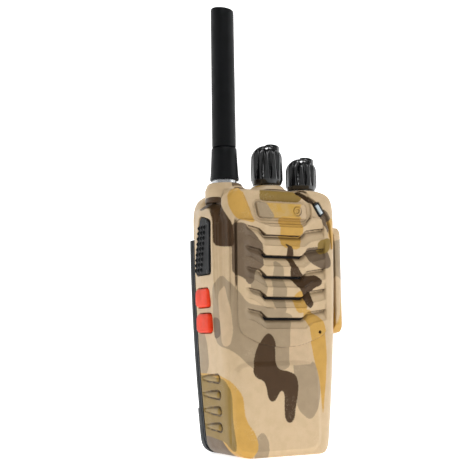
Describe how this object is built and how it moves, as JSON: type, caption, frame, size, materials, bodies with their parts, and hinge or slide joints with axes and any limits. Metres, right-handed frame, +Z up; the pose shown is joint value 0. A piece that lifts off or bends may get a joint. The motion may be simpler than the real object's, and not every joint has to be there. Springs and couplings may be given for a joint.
{
  "type": "handheld two-way radio",
  "caption": "Handheld two-way radio with a camouflage case, whip aerial, rotary knobs, side talk button and keys, jack cover and rear battery.",
  "frame": {"origin": "centre of the flat base that the radio stands on", "axes": "+X to the right of a person facing the front, the front faces -Y, +Z up along the aerial"},
  "size_m": [0.0615, 0.0353, 0.188],
  "materials": {
    "camo_plastic": "moulded plastic with a printed camouflage film, satin",
    "label_plastic": "printed plastic, satin",
    "clear_lens": "clear moulded plastic",
    "black_plastic": "moulded, satin to gloss",
    "soft_black": "soft-touch, fine texture",
    "orange_rubber": "soft silicone, satin",
    "dark_grey_plastic": "fine spark texture",
    "chassis_metal": "die-cast, black coated",
    "steel": "plated",
    "brass": "gold plated",
    "board_green": "lacquered circuit board",
    "speaker_fabric": "open dust cloth",
    "cell_wrap": "wrapped pouch cell"
  },
  "bodies": {
    "radio_body": {"front_case": "camo_plastic", "label_plate": "label_plastic", "status_lens": "clear_lens", "jack_block": "black_plastic", "chassis_frame": "chassis_metal", "main_circuit_board": "board_green", "radio_shield_can": "steel", "speaker_frame": "steel", "speaker_cone": "black_plastic", "speaker_magnet": "steel", "speaker_cloth": "speaker_fabric", "microphone": "steel", "talk_switch": "black_plastic", "upper_key_switch": "black_plastic", "lower_key_switch": "black_plastic", "channel_switch": "steel", "volume_switch": "steel", "antenna_socket": "brass", "torch_lens": "clear_lens", "torch_lamp": "clear_lens", "battery_contact_block": "brass", "chassis_screw_left": "steel", "chassis_screw_right": "steel", "clip_screw_left": "steel", "clip_screw_right": "steel", "cover_hinge_pin": "steel"},
    "talk_button_body": {"talk_button": "soft_black"},
    "upper_key_body": {"upper_side_key": "orange_rubber"},
    "lower_key_body": {"lower_side_key": "orange_rubber"},
    "channel_control": {"channel_knob": "black_plastic", "channel_shaft": "steel"},
    "volume_control": {"volume_knob": "black_plastic", "volume_shaft": "steel"},
    "antenna_contact": {"antenna_center_pin": "brass"},
    "antenna": {"antenna_connector": "steel", "antenna_sleeve": "soft_black", "antenna_whip": "soft_black"},
    "jack_cover": {"accessory_cover": "camo_plastic"},
    "battery_pack": {"battery_tray": "dark_grey_plastic", "battery_cover": "dark_grey_plastic", "battery_cell": "cell_wrap", "battery_circuit": "board_green", "battery_contacts": "brass"},
    "battery_lock_slider": {"battery_lock": "black_plastic"}
  },
  "joints": [
    {"name": "talk_press", "type": "slide", "parent": "radio_body", "child": "talk_button_body", "axis": [1, 0, 0], "range_m": [0, 0.0008], "stiffness_N_per_m": 2500},
    {"name": "upper_key_press", "type": "slide", "parent": "radio_body", "child": "upper_key_body", "axis": [1, 0, 0], "range_m": [0, 0.0008], "stiffness_N_per_m": 2500},
    {"name": "lower_key_press", "type": "slide", "parent": "radio_body", "child": "lower_key_body", "axis": [1, 0, 0], "range_m": [0, 0.0008], "stiffness_N_per_m": 2500},
    {"name": "channel_turn", "type": "hinge", "parent": "radio_body", "child": "channel_control", "pos_m": [0.001, 0, 0.12], "axis": [0, 0, -1], "range_deg": [0, 337.5]},
    {"name": "volume_turn", "type": "hinge", "parent": "radio_body", "child": "volume_control", "pos_m": [0.0182, 0, 0.116], "axis": [0, 0, -1], "range_deg": [0, 300]},
    {"name": "antenna_rise", "type": "slide", "parent": "radio_body", "child": "antenna_contact", "axis": [0, 0, 1], "range_m": [0, 0.0036]},
    {"name": "antenna_turn", "type": "hinge", "parent": "antenna_contact", "child": "antenna", "pos_m": [-0.0195, 0, 0.115], "axis": [0, 0, 1], "range_deg": [0, 1800]},
    {"name": "cover_open", "type": "hinge", "parent": "radio_body", "child": "jack_cover", "pos_m": [0.0294, 0.0068, 0.0725], "axis": [0, 0, 1], "range_deg": [0, 120]},
    {"name": "battery_swing", "type": "hinge", "parent": "radio_body", "child": "battery_pack", "pos_m": [0, 0.0176, 0.0894], "axis": [1, 0, 0], "range_deg": [0, 50]},
    {"name": "battery_lock_slide", "type": "slide", "parent": "radio_body", "child": "battery_lock_slider", "axis": [-1, 0, 0], "range_m": [0, 0.0017]}
  ],
  "couplings": [
    {"joint": "antenna_rise", "follows": "antenna_turn", "m_per_rad": 0.00011236}
  ]
}
